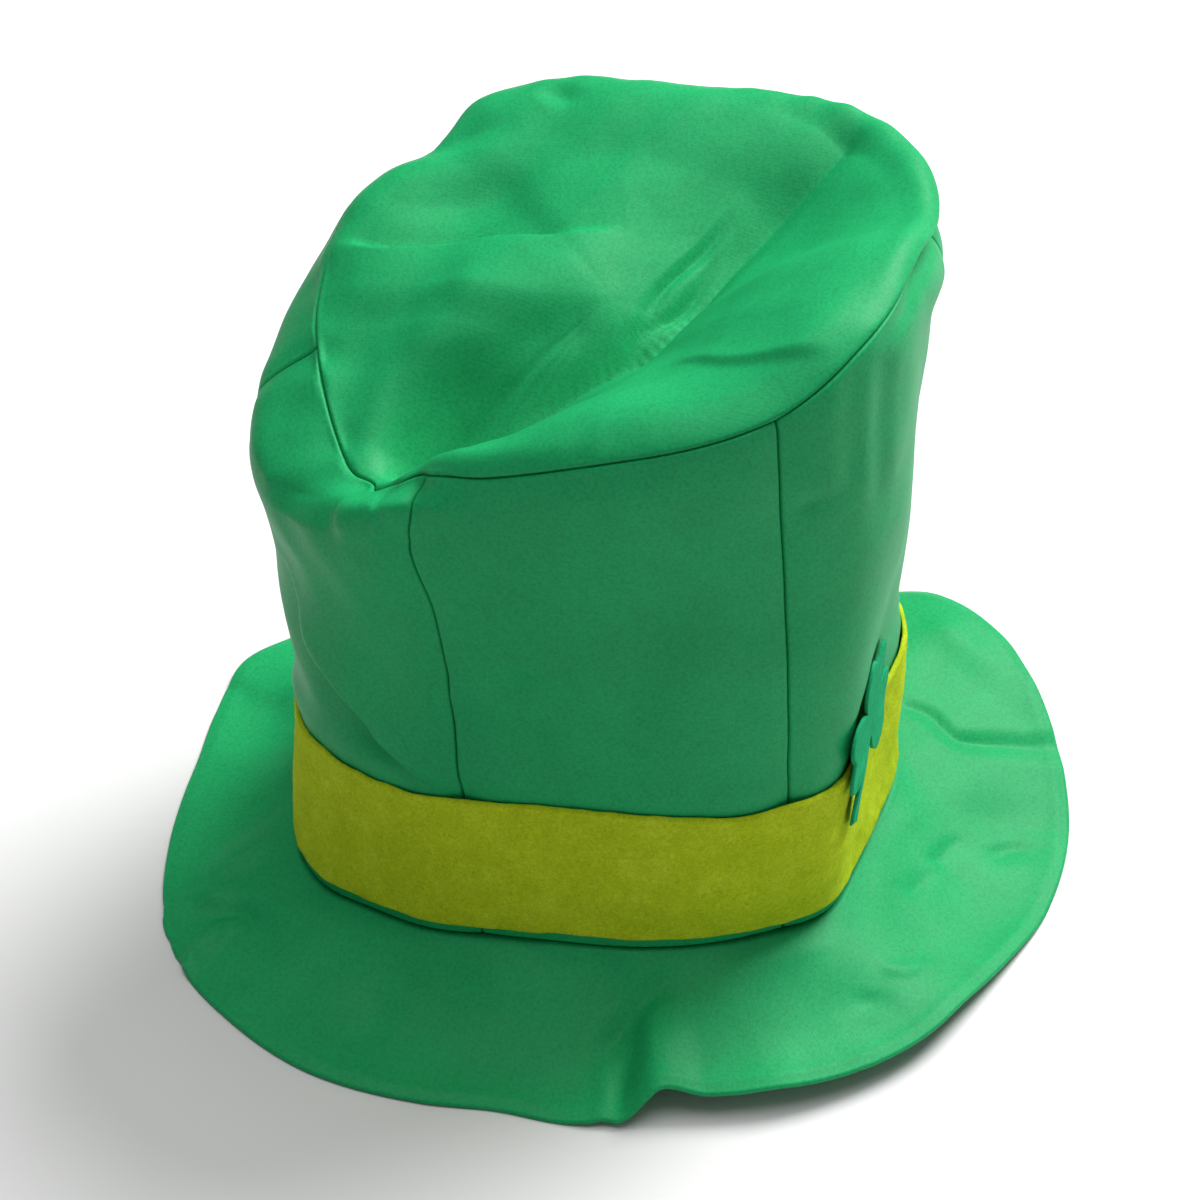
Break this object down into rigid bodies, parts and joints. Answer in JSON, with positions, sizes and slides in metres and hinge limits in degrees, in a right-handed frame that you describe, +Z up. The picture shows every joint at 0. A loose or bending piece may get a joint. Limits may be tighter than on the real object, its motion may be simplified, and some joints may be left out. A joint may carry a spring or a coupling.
{
  "type": "leprechaun hat",
  "caption": "Tall soft hat of sewn green cloth panels with a crumpled top, a drooping brim, a yellow felt band and a green felt shamrock on the front.",
  "frame": {"origin": "under the middle of the hat's bounding box, on the surface that the brim lies on", "axes": "+Z up, -Y the way the wearer faces, with the shamrock, +X the wearer's left"},
  "size_m": [0.2826, 0.31, 0.2673],
  "materials": {
    "knit_cloth": "brushed satin knit bonded to thin foam",
    "band_felt": "fuzzy matte felt",
    "shamrock_felt": "smooth matte felt"
  },
  "bodies": {
    "root": {"side_panel_1": "knit_cloth", "side_panel_2": "knit_cloth", "side_panel_3": "knit_cloth", "side_panel_4": "knit_cloth", "side_panel_5": "knit_cloth", "side_panel_6": "knit_cloth", "crown_tip": "knit_cloth", "brim": "knit_cloth", "hat_band": "band_felt", "shamrock": "shamrock_felt"}
  },
  "joints": []
}
